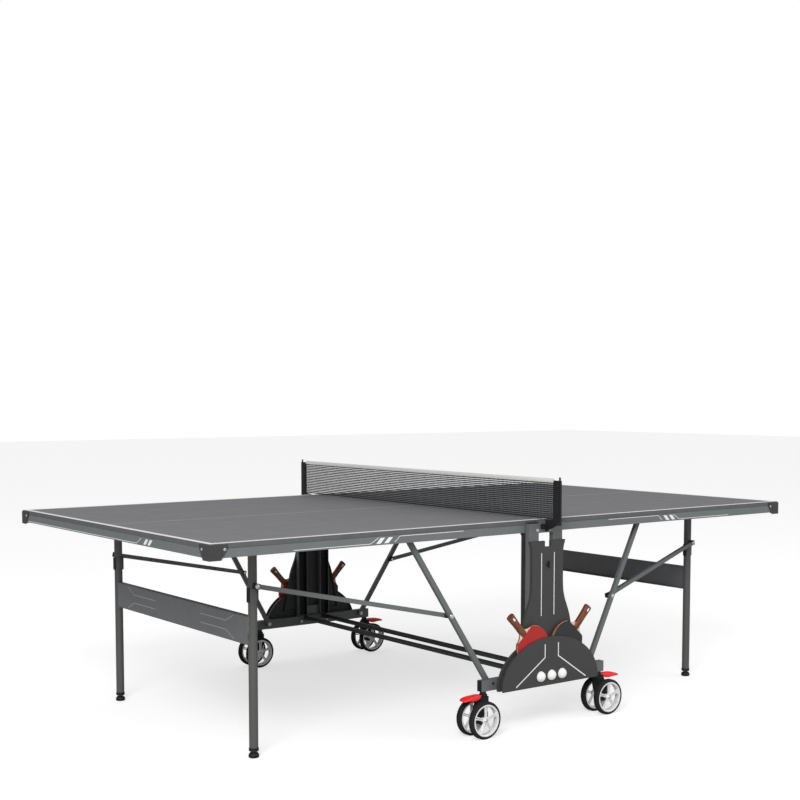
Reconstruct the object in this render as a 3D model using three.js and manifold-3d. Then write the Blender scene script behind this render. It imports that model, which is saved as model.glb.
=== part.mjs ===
// Folding ping pong table on a wheeled trolley, millimetres, +Z up.
// Origin: on the floor under the middle of the net. +X runs along the table, +Y across it.
// Each half is pinned near the net to slides in the trolley's posts, so it drops as it swings upright.
import * as THREE from 'three';
import { mergeVertices } from 'three/addons/utils/BufferGeometryUtils.js';
import Module from 'manifold-3d';

const wasm = await Module();
wasm.setup();

// ---------------------------------------------------------------- driving dimensions
const tableLength = 2740;
const tableWidth = 1525;
const tableHeight = 760;
const netHeight = 152.5;
const fit = 0.3; // clearance between pieces that touch
const flatness = 0.01; // corners closer to flat than this are dropped after a join or cut

const halfLength = tableLength / 2;
const halfWidth = tableWidth / 2;

// tops and aprons
const centreGap = 5; // inner edge of each half from the net plane
const boardThickness = 16;
const apronBottom = 714;
const railWidth = 17.5;
const strutRail = { x: 606, width: 20 };
const legRail = { x: 1110, width: 20 };
const guardReach = 66;
const guardFoot = 42;
const guardDrop = 53;
const guardSlant = 38; // rise of the slanted lower corners
const guardWall = 3;

// fold linkage, in the plane across each pin: x outwards from the net, z up
const slidePin = { x: 58.5, z: 738, radius: 3.5 };
const strutTop = { x: 576.4, y: 702.7, z: 728 };
const strutFoot = { x: 250.4, y: 752.5, z: 188, pinRadius: 4.5 };
const strutSize = { width: 18.5, thickness: 14 };
const jointHeight = 437; // height of the link's pin on the strut
const legPin = { x: 1079, y: 520, z: 722 };
const linkOnLeg = { y: 544.5, z: 581 };
const linkOnStrutY = 711.5;
const linkSize = { width: 16, thickness: 13 };
const earThickness = 4;
const earGap = 9.5; // from the pin's middle plane to an ear
const bossGap = 3; // a leaning link's face swings this far past its eye's middle

// legs
const legRadius = 15.5;
const legBottom = 22;
const footRadius = 18;
const footStemRadius = 6;
const footStemTop = 75;
const panelBottom = 378;
const panelTop = 477;
const panelDepth = 18;
const panelWall = 2.5;

// trolley
const sideFace = 785; // outer face of the beams and posts
const beam = { halfLength: 304, height: 40, depth: 24, bottom: 163.5 };
const beamTop = beam.bottom + beam.height;
const post = { x: slidePin.x, width: 47, depth: 19.7, wall: 2.5, top: 750 };
const crossBar = { x: 50, z: 194.5, radius: 10 };
const tiePlate = { halfWidth: 36, bottom: 713, top: 757, thickness: 4 };
const slide = { width: 38, bottom: 708, top: 748 };

// post cover and paddle pocket
const cover = { front: 797, back: sideFace + 0.5, bottom: 228, top: 684, wall: 3 };
const coverNotch = { halfWidth: 15, bottom: 662 };
const pocket = { front: 821, back: 788, plate: 797.4, wall: 3, halfWidth: 237, bottom: 157.5, rimInset: 9 };
const pocketArc = { centreZ: 165, height: 170 };
const paddleMouth = 172; // half width of the open top between the plates
const coverMouth = 140; // half width of the gap behind, where the cover stands
const pocketShelf = 222;
const ball = { spacing: 52.7, z: 193, windowRadius: 21, seatRadius: 18 };
const paddle = { x: 85, y: 809.5, z: 307, tilt: THREE.MathUtils.degToRad(42.5) };
const paddleBlade = { radius: 77, thickness: 12 };
const paddleHandle = { start: 66, end: 162, width: 28, thickness: 23 };

// casters
const caster = { y: 772, stemX: 287, wheelX: 307, stemRadius: 10 };
const casterShoulder = 146; // top of the fork, under its stem
const wheel = { radius: 67.5, rim: 57, width: 25, offset: 34.5, axle: 6 };
const forkHalfWidth = 14.5;
const leverHalfWidth = 19;

// net
const netPost = { inner: 826, outer: 862, thickness: 8, top: 905, nubTop: 917 };
const netSheet = { halfLength: 825.5, thickness: 3, bottom: 764 };

const material = (color, roughness, metalness) =>
  new THREE.MeshStandardMaterial({ color, roughness, metalness });
const finishes = {
  playingSurface: material(0x808082, 0.7, 0),
  apron: material(0x6e7273, 0.55, 0.3),
  frameTube: material(0x6c6d6e, 0.45, 0.5),
  legTube: material(0x626361, 0.45, 0.5),
  darkBar: material(0x2c2d2e, 0.5, 0.3),
  blackPlastic: material(0x2a2a2b, 0.6, 0),
  guardPlastic: material(0x464645, 0.65, 0),
  coverPlastic: material(0x454545, 0.6, 0),
  stretcherPanel: material(0x646567, 0.5, 0.3),
  tyre: material(0x232323, 0.8, 0),
  brakeRed: material(0xeb2d32, 0.4, 0),
  netMesh: material(0x26282a, 0.9, 0),
  redRubber: material(0xb92d2d, 0.6, 0),
  blackRubber: material(0x222222, 0.6, 0),
};

const table = new THREE.Group();

// ---------------------------------------------------------------- solid helpers
function add(name, geometry, finish) {
  const mesh = new THREE.Mesh(geometry, finish);
  mesh.name = name;
  table.add(mesh);
}

function solidOf(geometry) {
  const bare = geometry.clone();
  bare.deleteAttribute('normal');
  bare.deleteAttribute('uv');
  const merged = mergeVertices(bare, 1e-4);
  const corners = merged.index.array;
  const kept = [];
  for (let i = 0; i < corners.length; i += 3) {
    const [a, b, c] = [corners[i], corners[i + 1], corners[i + 2]];
    if (a !== b && b !== c && a !== c) kept.push(a, b, c);
  }
  return new wasm.Manifold(new wasm.Mesh({
    numProp: 3,
    vertProperties: new Float32Array(merged.attributes.position.array),
    triVerts: new Uint32Array(kept),
  }));
}

function geometryOf(solid) {
  const result = solid.simplify(flatness).getMesh();
  const geometry = new THREE.BufferGeometry();
  geometry.setAttribute('position', new THREE.BufferAttribute(new Float32Array(result.vertProperties), 3));
  geometry.setIndex(new THREE.BufferAttribute(new Uint32Array(result.triVerts), 1));
  geometry.computeVertexNormals();
  return geometry;
}

function join(...geometries) {
  const solids = geometries.map(solidOf);
  return geometryOf(solids.reduce((whole, piece) => whole.add(piece)));
}

function cut(geometry, ...tools) {
  return geometryOf(tools.map(solidOf).reduce((rest, tool) => rest.subtract(tool), solidOf(geometry)));
}

// Mirrors a closed geometry across the plane through the origin with the given signs.
function mirrored(geometry, signX, signY) {
  const copy = geometry.clone();
  copy.scale(signX, signY, 1);
  if (signX * signY < 0) {
    const whole = copy.index ? copy : mergeVertices(copy, 1e-4);
    const corners = whole.index.array;
    for (let i = 0; i < corners.length; i += 3) {
      [corners[i + 1], corners[i + 2]] = [corners[i + 2], corners[i + 1]];
    }
    return whole;
  }
  return copy;
}

// A box whose corners land exactly on the given planes, so that flush faces join cleanly.
function block(x0, x1, y0, y1, z0, z1) {
  const geometry = new THREE.BoxGeometry(2, 2, 2);
  const places = geometry.attributes.position;
  for (let i = 0; i < places.count; i += 1) {
    places.setXYZ(
      i, places.getX(i) < 0 ? x0 : x1, places.getY(i) < 0 ? y0 : y1, places.getZ(i) < 0 ? z0 : z1,
    );
  }
  return geometry;
}

function shapeOf(points) {
  return new THREE.Shape(points.map(([a, b]) => new THREE.Vector2(a, b)));
}

// Extrudes an outline drawn in X and Z along Y, from y0 to y1.
function plateAcrossY(shape, y0, y1, curveSegments = 12) {
  const geometry = new THREE.ExtrudeGeometry(shape, { depth: y1 - y0, bevelEnabled: false, curveSegments });
  geometry.rotateX(Math.PI / 2);
  geometry.translate(0, y1, 0);
  return geometry;
}

// Extrudes an outline drawn in Y and Z along X, from x0 to x1.
function plateAcrossX(shape, x0, x1) {
  const geometry = new THREE.ExtrudeGeometry(shape, { depth: x1 - x0, bevelEnabled: false });
  geometry.rotateY(Math.PI / 2);
  geometry.rotateX(Math.PI / 2);
  geometry.translate(x0, 0, 0);
  return geometry;
}

function pinAcrossY(x, z, radius, y0, y1, sides = 16) {
  const geometry = new THREE.CylinderGeometry(radius, radius, y1 - y0, sides);
  geometry.translate(x, (y0 + y1) / 2, z);
  return geometry;
}

function uprightLathe(profile, x, y, sides) {
  const geometry = new THREE.LatheGeometry(profile.map(([r, z]) => new THREE.Vector2(r, z)), sides);
  geometry.rotateX(Math.PI / 2);
  geometry.translate(x, y, 0);
  return geometry;
}

// A bar with round ends between two pins, both along Y. It leans in Y at a steady rate.
function leaningBar(from, to, width, thickness) {
  const dx = to.x - from.x;
  const dz = to.z - from.z;
  const length = Math.hypot(dx, dz);
  const outline = new THREE.Shape();
  outline.absarc(0, 0, width / 2, Math.PI / 2, Math.PI * 1.5, false);
  outline.absarc(length, 0, width / 2, -Math.PI / 2, Math.PI / 2, false);
  const geometry = plateAcrossY(outline, -thickness / 2, thickness / 2, 8);
  const places = geometry.attributes.position;
  for (let i = 0; i < places.count; i += 1) {
    const along = places.getX(i) / length;
    places.setY(i, places.getY(i) + from.y + (to.y - from.y) * along);
  }
  geometry.rotateY(-Math.atan2(dz, dx));
  geometry.translate(from.x, 0, from.z);
  return geometry;
}

// ---------------------------------------------------------------- shapes of the right, near pieces
// Every shape below is made for +X and -Y, then mirrored to its other places.
const near = -1;

function topBoard() {
  return block(centreGap, halfLength, -halfWidth, halfWidth, tableHeight - boardThickness, tableHeight);
}

function apronFrame() {
  const railTop = tableHeight - boardThickness - fit;
  const innerY = halfWidth - railWidth;
  const rail = (x, width) => block(x - width / 2, x + width / 2, -innerY - 1, innerY + 1, apronBottom, railTop);
  const pieces = [
    block(centreGap, halfLength, -halfWidth, -innerY, apronBottom, railTop),
    block(centreGap, halfLength, innerY, halfWidth, apronBottom, railTop),
    rail(centreGap + railWidth / 2, railWidth),
    rail(halfLength - railWidth / 2, railWidth),
    rail(strutRail.x, strutRail.width),
    rail(legRail.x, legRail.width),
  ];
  const earTop = railTop - 2;
  const addEars = (pin, railX, y, gap) => {
    for (const side of [-1, 1]) {
      const inner = y + side * gap;
      const outer = y + side * (gap + earThickness);
      pieces.push(block(pin.x - 12, railX, Math.min(inner, outer), Math.max(inner, outer), apronBottom, earTop));
    }
  };
  for (const side of [-1, 1]) {
    addEars(strutTop, strutRail.x, side * strutTop.y, earGap);
    addEars(legPin, legRail.x, side * legPin.y, legRadius + 1);
  }
  const pinHoles = [-1, 1].map((side) => pinAcrossY(
    slidePin.x, slidePin.z, slidePin.radius + 0.7, side * halfWidth - railWidth - 5, side * halfWidth + railWidth + 5,
  ));
  return cut(join(...pieces), ...pinHoles);
}

// An L-shaped cap on the outer corner, with its lower corners cut at a slant.
function cornerGuard() {
  const top = tableHeight - 4;
  const bottom = tableHeight - guardDrop;
  const face = (sign) => shapeOf([
    [sign * 0, bottom],
    [sign * guardFoot, bottom],
    [sign * guardReach, bottom + guardSlant],
    [sign * guardReach, top],
    [0, top],
  ]);
  const sideY = -halfWidth - fit;
  const endX = halfLength + fit;
  const side = plateAcrossY(face(-1), sideY - guardWall, sideY);
  side.translate(endX + guardWall, 0, 0);
  const end = plateAcrossX(face(1), endX, endX + guardWall);
  end.translate(0, sideY - guardWall, 0);
  return join(side, end);
}

function leg() {
  const tube = uprightLathe([
    [0, footStemTop + 10],
    [footStemRadius + 0.4, footStemTop + 10],
    [footStemRadius + 0.4, legBottom],
    [legRadius, legBottom],
    [legRadius, legPin.z + 10],
    [0, legPin.z + 10],
  ], legPin.x, near * legPin.y, 16);
  const bossEnd = linkOnLeg.y - linkSize.thickness / 2 - bossGap;
  const boss = pinAcrossY(legPin.x, linkOnLeg.z, 9, -bossEnd, -legPin.y - legRadius + 5);
  return join(tube, boss);
}

function levelerFoot() {
  return uprightLathe([
    [0, 0],
    [footRadius - 1.5, 0],
    [footRadius, 1.5],
    [footRadius, 8],
    [footRadius - 1, 12],
    [footRadius - 3.5, 15.5],
    [footRadius - 7, 17.6],
    [footStemRadius, 18.4],
    [footStemRadius, footStemTop],
    [0, footStemTop],
  ], legPin.x, near * legPin.y, 16);
}

// A channel between a pair of legs, its web facing outwards.
function stretcherPanel() {
  const outer = panelDepth / 2 + 2;
  const inner = outer - panelDepth;
  const section = shapeOf([
    [inner, panelBottom],
    [outer - 3, panelBottom],
    [outer, panelBottom + 3],
    [outer, panelTop - 3],
    [outer - 3, panelTop],
    [inner, panelTop],
    [inner, panelTop - panelWall],
    [outer - panelWall, panelTop - panelWall],
    [outer - panelWall, panelBottom + panelWall],
    [inner, panelBottom + panelWall],
  ]);
  const reach = legPin.y - legRadius - 0.4;
  const geometry = plateAcrossY(section, -reach, reach);
  geometry.translate(legPin.x, 0, 0);
  return geometry;
}

const strutLean = (strutTop.y - strutFoot.y) / (strutTop.z - strutFoot.z);
const strutRun = (strutTop.x - strutFoot.x) / (strutTop.z - strutFoot.z);
const linkPin = {
  x: strutFoot.x + strutRun * (jointHeight - strutFoot.z),
  y: strutFoot.y + strutLean * (jointHeight - strutFoot.z),
  z: jointHeight,
};

function strut() {
  const bar = leaningBar(
    { x: strutFoot.x, y: near * strutFoot.y, z: strutFoot.z },
    { x: strutTop.x, y: near * strutTop.y, z: strutTop.z },
    strutSize.width, strutSize.thickness,
  );
  const bossEnd = linkOnStrutY + linkSize.thickness / 2 + bossGap;
  const boss = pinAcrossY(linkPin.x, linkPin.z, 8, near * linkPin.y, near * bossEnd);
  const footHole = pinAcrossY(
    strutFoot.x, strutFoot.z, strutFoot.pinRadius + 0.7, near * strutFoot.y - 20, near * strutFoot.y + 20,
  );
  return cut(join(bar, boss), footHole);
}

function link() {
  return leaningBar(
    { x: linkPin.x, y: near * linkOnStrutY, z: linkPin.z },
    { x: legPin.x, y: near * linkOnLeg.y, z: linkOnLeg.z },
    linkSize.width, linkSize.thickness,
  );
}

// A slide that runs in a post, with the pin that carries the half.
function slideBlock() {
  const body = block(
    slidePin.x - slide.width / 2, slidePin.x + slide.width / 2,
    -sideFace + post.wall + 1, -halfWidth - 4, slide.bottom, slide.top,
  );
  const pin = pinAcrossY(slidePin.x, slidePin.z, slidePin.radius, -halfWidth - 5, -halfWidth + railWidth - 2);
  return join(body, pin);
}

// The beam, the two channel posts open towards the table, the tie plate and the struts' foot pins.
function sideFrame() {
  const pieces = [block(
    -beam.halfLength, beam.halfLength, -sideFace, -sideFace + beam.depth, beam.bottom, beamTop,
  )];
  for (const side of [-1, 1]) {
    const half = post.width / 2;
    const depth = post.depth;
    const wall = post.wall;
    const channel = shapeOf([
      [-half, 0], [half, 0], [half, depth], [half - wall, depth],
      [half - wall, wall], [wall - half, wall], [wall - half, depth], [-half, depth],
    ]);
    const geometry = new THREE.ExtrudeGeometry(channel, { depth: post.top - beamTop + 1, bevelEnabled: false });
    geometry.translate(side * post.x, -sideFace, beamTop - 1);
    pieces.push(geometry);
    const insideFace = -sideFace + beam.depth;
    const pinEnd = near * strutFoot.y + strutSize.thickness / 2 + 2;
    pieces.push(pinAcrossY(side * strutFoot.x, strutFoot.z, strutFoot.pinRadius, insideFace - 1, pinEnd));
  }
  pieces.push(block(
    -tiePlate.halfWidth, tiePlate.halfWidth,
    -sideFace, -sideFace + tiePlate.thickness, tiePlate.bottom, tiePlate.top,
  ));
  return join(...pieces);
}

function crossTube() {
  const reach = sideFace - beam.depth - fit;
  return pinAcrossY(crossBar.x, crossBar.z, crossBar.radius, -reach, reach);
}

// Height and half width of the post cover: flared at the top, waisted, and spread towards its base.
const coverStations = [
  [228, 146], [300, 132], [350, 122], [385, 115], [410, 108.5], [445, 95], [463, 87.5], [490, 80],
  [520, 77], [580, 76.4], [645, 77], [665, 80.5], [684, 87],
];

function coverOutline(inset) {
  const lowest = cover.bottom + inset;
  const highest = cover.top - inset;
  const right = coverStations.map(([z, half]) => [half - inset, Math.min(Math.max(z, lowest), highest)]);
  const left = right.map(([x, z]) => [-x, z]).reverse();
  return shapeOf([...right, ...left]);
}

function postCover() {
  const shell = plateAcrossY(coverOutline(0), -cover.front, -cover.back);
  const hollow = plateAcrossY(coverOutline(cover.wall), -cover.front + cover.wall, -cover.back + 1);
  const notch = block(
    -coverNotch.halfWidth, coverNotch.halfWidth, -cover.front - 1, -cover.back + 1, coverNotch.bottom, cover.top + 1,
  );
  return cut(shell, hollow, notch);
}

function pocketOutline(inset) {
  const outline = new THREE.Shape();
  const reach = pocket.halfWidth - inset;
  const rise = pocketArc.height - inset;
  const floor = pocket.bottom + inset;
  const start = Math.asin(Math.max(0, (floor - pocketArc.centreZ) / rise));
  outline.moveTo(-reach * Math.cos(start), floor);
  outline.lineTo(reach * Math.cos(start), floor);
  outline.absellipse(0, pocketArc.centreZ, reach, rise, start, Math.PI - start, false);
  return outline;
}

// A shallow pocket between two plates: a closed ball rack below the shelf and an open mouth above it
// for two paddles. The wall between the plates stands back from their edges.
function paddlePocket() {
  const { front, back, plate, wall, rimInset } = pocket;
  const arcSegments = 16;
  const frontInside = -front + wall;
  const plateFront = -plate - wall;
  const shell = plateAcrossY(pocketOutline(0), -front, -back, arcSegments);
  const rim = plateAcrossY(pocketOutline(rimInset), frontInside, plateFront, arcSegments);
  const between = block(-pocket.halfWidth - 1, pocket.halfWidth + 1, frontInside, plateFront, 0, pocket.bottom * 3);
  const groove = geometryOf(solidOf(between).subtract(solidOf(rim)));
  const inside = plateAcrossY(pocketOutline(rimInset + wall), frontInside, plateFront, arcSegments);
  const shelf = block(-pocket.halfWidth, pocket.halfWidth, -front, -back, pocketShelf, pocketShelf + wall);
  const spaces = geometryOf(solidOf(inside).subtract(solidOf(shelf)));
  const recess = plateAcrossY(pocketOutline(wall), -plate, -back + 1, arcSegments);
  const [mouthBottom, aboveAll] = [270, 400];
  const mouths = [
    block(-paddleMouth, paddleMouth, frontInside, plateFront, mouthBottom, aboveAll),
    block(-coverMouth, coverMouth, -plate, -back + 1, mouthBottom, aboveAll),
  ];
  const roundHoles = [-1, 0, 1].flatMap((place) => [
    pinAcrossY(place * ball.spacing, ball.z, ball.windowRadius, -front - 1, frontInside + 1, 20),
    pinAcrossY(place * ball.spacing, ball.z, ball.seatRadius, plateFront - 1, -plate + 1, 20),
  ]);
  return cut(shell, groove, spaces, recess, ...mouths, ...roundHoles);
}

function bat() {
  const blade = pinAcrossY(0, 0, paddleBlade.radius, -paddleBlade.thickness / 2, paddleBlade.thickness / 2, 28);
  const { start, end, width, thickness } = paddleHandle;
  const grip = shapeOf([
    [-width / 2 + 2, start], [width / 2 - 2, start], [width / 2 - 2, start + 30],
    [width / 2 + 2, end - 4], [width / 2, end], [-width / 2, end], [-width / 2 - 2, end - 4],
    [2 - width / 2, start + 30],
  ]);
  const handle = plateAcrossY(grip, -thickness / 2, thickness / 2);
  const geometry = join(blade, handle);
  geometry.rotateY(paddle.tilt);
  geometry.translate(paddle.x, near * paddle.y, paddle.z);
  return geometry;
}

function casterFork() {
  const body = plateAcrossY(shapeOf([
    [caster.stemX - 15, casterShoulder],
    [caster.stemX + 15, casterShoulder],
    [caster.wheelX + 15, 110],
    [caster.wheelX + 19, wheel.radius],
    [caster.wheelX + 13, wheel.radius - 16],
    [caster.wheelX, wheel.radius - 21],
    [caster.wheelX - 13, wheel.radius - 16],
    [caster.wheelX - 20, wheel.radius],
    [caster.stemX - 15, 110],
  ]), -caster.y - forkHalfWidth, -caster.y + forkHalfWidth);
  const stemTop = beam.bottom - fit;
  const stemBottom = casterShoulder - 6;
  const stem = new THREE.CylinderGeometry(caster.stemRadius, caster.stemRadius, stemTop - stemBottom, 20);
  stem.rotateX(Math.PI / 2);
  stem.translate(caster.stemX, -caster.y, (stemTop + stemBottom) / 2);
  const axleHole = pinAcrossY(
    caster.wheelX, wheel.radius, wheel.axle + 0.8, -caster.y - 20, -caster.y + 20,
  );
  return cut(join(body, stem), axleHole);
}

// Two wheels on one axle, turned as one body.
function wheelPair() {
  const inner = wheel.offset - wheel.width / 2;
  const outer = wheel.offset + wheel.width / 2;
  const oneSide = [
    [wheel.axle, inner],
    [wheel.rim, inner],
    [wheel.radius, inner + 6],
    [wheel.radius, outer - 6],
    [wheel.rim, outer],
    [wheel.rim - 4, outer - 5],
    [0, outer - 5],
  ];
  const otherSide = oneSide.map(([r, y]) => [r, -y]).reverse();
  const profile = [...otherSide, ...oneSide].map(([r, y]) => new THREE.Vector2(r, y));
  const geometry = new THREE.LatheGeometry(profile, 24);
  geometry.translate(caster.wheelX, -caster.y, wheel.radius);
  return geometry;
}

// A pedal that starts above the fork, is thickest between the wheels and dips towards its tip.
function brakeLever() {
  return plateAcrossY(shapeOf([
    [300, 149], [308, 141], [315, 136], [328, 134.5], [348, 137.5], [366, 138.5], [380, 137],
    [385.5, 139.5], [376, 146.5], [356, 151], [328, 153], [300, 152.5],
  ]), -caster.y - leverHalfWidth, -caster.y + leverHalfWidth);
}

// A flat upright with a gusset that reaches in to the tie plate, and a round nub on top.
function netUpright() {
  const inner = sideFace + 0.4;
  const { outer, thickness, top, nubTop } = netPost;
  const outline = plateAcrossX(shapeOf([
    [-outer, 752], [-outer, top], [-netPost.inner, top], [-netPost.inner, 763], [-inner, 760], [-inner, 716],
  ]), -thickness / 2, thickness / 2);
  const nub = new THREE.CylinderGeometry(3.5, 3.5, nubTop - top + 5, 12);
  nub.rotateX(Math.PI / 2);
  nub.translate(0, 6 - outer, (nubTop + top - 5) / 2);
  return join(outline, nub);
}

function netCloth() {
  return block(
    -netSheet.thickness / 2, netSheet.thickness / 2,
    -netSheet.halfLength, netSheet.halfLength, netSheet.bottom, tableHeight + netHeight,
  );
}

// ---------------------------------------------------------------- assembly
const ends = [{ name: 'left', sign: -1 }, { name: 'right', sign: 1 }];
const sides = [{ name: 'near', sign: 1 }, { name: 'far', sign: -1 }];

const endPieces = [
  ['top', topBoard(), finishes.playingSurface],
  ['apron_frame', apronFrame(), finishes.apron],
  ['stretcher_panel', stretcherPanel(), finishes.stretcherPanel],
  ['cross_bar', crossTube(), finishes.darkBar],
];
const sidePieces = [
  ['side_frame', sideFrame(), finishes.frameTube],
  ['post_cover', postCover(), finishes.coverPlastic],
  ['paddle_pocket', paddlePocket(), finishes.coverPlastic],
  ['net_post', netUpright(), finishes.blackPlastic],
];
const cornerPieces = [
  ['corner_guard', cornerGuard(), finishes.guardPlastic],
  ['leg', leg(), finishes.legTube],
  ['leveler_foot', levelerFoot(), finishes.blackPlastic],
  ['strut', strut(), finishes.frameTube],
  ['leg_link', link(), finishes.frameTube],
  ['slide_block', slideBlock(), finishes.blackPlastic],
  ['caster_fork', casterFork(), finishes.blackPlastic],
  ['wheel_pair', wheelPair(), finishes.tyre],
  ['brake_lever', brakeLever(), finishes.brakeRed],
];
const batShape = bat();

for (const end of ends) {
  for (const [name, geometry, finish] of endPieces) {
    add(`${end.name}_${name}`, mirrored(geometry, end.sign, 1), finish);
  }
}
for (const side of sides) {
  for (const [name, geometry, finish] of sidePieces) {
    add(`${side.name}_${name}`, mirrored(geometry, 1, side.sign), finish);
  }
  for (const end of ends) {
    for (const [name, geometry, finish] of cornerPieces) {
      add(`${side.name}_${end.name}_${name}`, mirrored(geometry, end.sign, side.sign), finish);
    }
    const isRed = end.sign * side.sign < 0;
    add(
      `${side.name}_${end.name}_paddle`, mirrored(batShape, end.sign, side.sign),
      isRed ? finishes.redRubber : finishes.blackRubber,
    );
  }
}
add('net', netCloth(), finishes.netMesh);

export default table;
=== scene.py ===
"""Folding ping pong table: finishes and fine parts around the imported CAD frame.

Shapes are written in millimetres for the right-hand near corner (x > 0, y < 0), then scaled to
metres and mirrored to their other places. Origin: on the floor under the middle of the net.
"""

import math

import bmesh
import bpy
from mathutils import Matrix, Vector


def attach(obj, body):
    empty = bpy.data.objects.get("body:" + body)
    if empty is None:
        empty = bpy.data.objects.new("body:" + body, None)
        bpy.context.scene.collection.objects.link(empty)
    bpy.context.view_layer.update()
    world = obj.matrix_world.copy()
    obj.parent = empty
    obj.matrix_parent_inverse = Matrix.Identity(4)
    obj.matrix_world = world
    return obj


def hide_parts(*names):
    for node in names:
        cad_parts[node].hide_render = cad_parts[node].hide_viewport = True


# ------------------------------------------------------------------ sizes in millimetres
MM = 0.001
TABLE_HALF_LENGTH = 1370.0
TABLE_HALF_WIDTH = 762.5
TABLE_HEIGHT = 760.0
CENTRE_GAP = 5.0
BORDER_LINE = 20.0
CENTRE_LINE = 3.0
PAINT = 0.25  # thickness of a printed line
PAINT_SINK = 0.15  # how far a printed line reaches into what it is printed on
TRIM = 0.8  # how far the top's lines stay back from the board's edges
MARK_LOW = 719.0  # heights between which the apron's slanted marks lean
MARK_HIGH = 738.0
LINE_WIDTH = {"apron": 1.8, "stretcher": 1.6, "cover": 3.2, "pocket": 3.9}

NET = {"half": 825.5, "bottom": 764.0, "top": 912.5, "tape": 15.0, "pitch": 7.5, "weft": 4.2, "warp": 1.1}
NET_SAG = 1.2
NET_WAVE = 0.5
NET_RIPPLE = 131.0  # how far apart the ripples are, as a length in sin(y / length)

POST_X = 58.5
POST_HALF = 24.0  # half width of each channel post
CROSS_BAR = (70.0, 180.0)  # distance from the middle and height
FRAME_FACE = 785.0  # outer face of the beams and posts
BEAM = {"half": 304.0, "height": 40.0, "depth": 24.0, "bottom": 163.5}
BEAM_INSIDE = FRAME_FACE - BEAM["depth"]

STRUT_TOP = (576.4, 702.7, 728.0)
STRUT_FOOT = (250.4, 752.5, 188.0)
STRUT_THICKNESS = 14.0
JOINT_HEIGHT = 437.0  # of the pin that holds a link to its strut
LEG = (1079.0, 520.0)
LEG_RADIUS = 15.5
LEG_PIN_Z = 722.0
LEG_SLEEVE = (525.0, 573.0)  # lowest and highest
FOOT_TOP = 20.0
STEM_TOP = 73.0
LINK_ON_LEG = (544.5, 581.0)
LINK_ON_STRUT_Y = 711.5

COVER = {"front": 797.0, "back": 785.5, "bottom": 228.0, "top": 684.0, "wall": 3.0}
COVER_NOTCH = (15.0, 662.0)  # half width and lowest height
POCKET = {"front": 821.0, "back": 788.0, "plate": 797.4, "wall": 3.0, "half": 237.0, "bottom": 157.5,
          "rim_inset": 9.0}
POCKET_ARC = (165.0, 170.0)  # centre height and rise
PADDLE_MOUTH = 172.0
COVER_MOUTH = 140.0
POCKET_SHELF = 222.0
BALL = {"radius": 20.0, "spacing": 52.7, "z": 193.0, "y": 817.0, "window": 21.0, "seat": 18.0}

PADDLE = {"x": 85.0, "y": 809.5, "z": 307.0, "tilt": math.radians(42.5), "radius": 77.0}
CASTER_Y = 772.0
CASTER_STEM_X = 287.0
WHEEL = {"x": 307.0, "radius": 67.5, "rim": 57.0, "width": 25.0, "offset": 34.5}

NET_POST = {"inner": 826.0, "outer": 862.0, "top": 905.0}

WORLD_LIGHT = 0.5
FLOOR_GLOW = 0.6
LAMPS = [
    ("key", (-5.5, -5.5, 5.0), 4.0, 480),
    ("fill", (5.0, -5.0, 3.5), 4.0, 90),
]

SIDES = {"near": 1, "far": -1}
ENDS = {"right": 1, "left": -1}

# ------------------------------------------------------------------ frame and camera
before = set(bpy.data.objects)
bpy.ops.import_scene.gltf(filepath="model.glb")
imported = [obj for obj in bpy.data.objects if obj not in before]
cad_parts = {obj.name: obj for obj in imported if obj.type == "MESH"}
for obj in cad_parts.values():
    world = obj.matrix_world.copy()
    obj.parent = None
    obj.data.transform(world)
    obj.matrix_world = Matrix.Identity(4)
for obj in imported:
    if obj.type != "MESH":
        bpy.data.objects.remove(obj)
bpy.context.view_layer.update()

CAMERA = {"place": (-3.289, -4.291, 1.208), "yaw": 36.93, "pitch": -4.17, "lens": 59.26}
camera_data = bpy.data.cameras.new("camera")
camera_data.sensor_width = 36.0
camera_data.lens = CAMERA["lens"]
camera_data.shift_x = -0.0033
camera_data.shift_y = 0.1154
camera = bpy.data.objects.new("camera", camera_data)
camera.location = CAMERA["place"]
camera.rotation_euler = (math.radians(90 + CAMERA["pitch"]), 0, math.radians(-CAMERA["yaw"]))
bpy.context.scene.collection.objects.link(camera)
bpy.context.scene.camera = camera


# ------------------------------------------------------------------ materials
def rgb(red, green, blue):
    """A linear colour from three display levels of 0 to 255."""

    def linear(level):
        share = level / 255
        return share / 12.92 if share <= 0.04045 else ((share + 0.055) / 1.055) ** 2.4

    return (linear(red), linear(green), linear(blue), 1.0)


def shade(colour, factor):
    return tuple(min(1.0, c * factor) for c in colour[:3]) + (1.0,)


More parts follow.
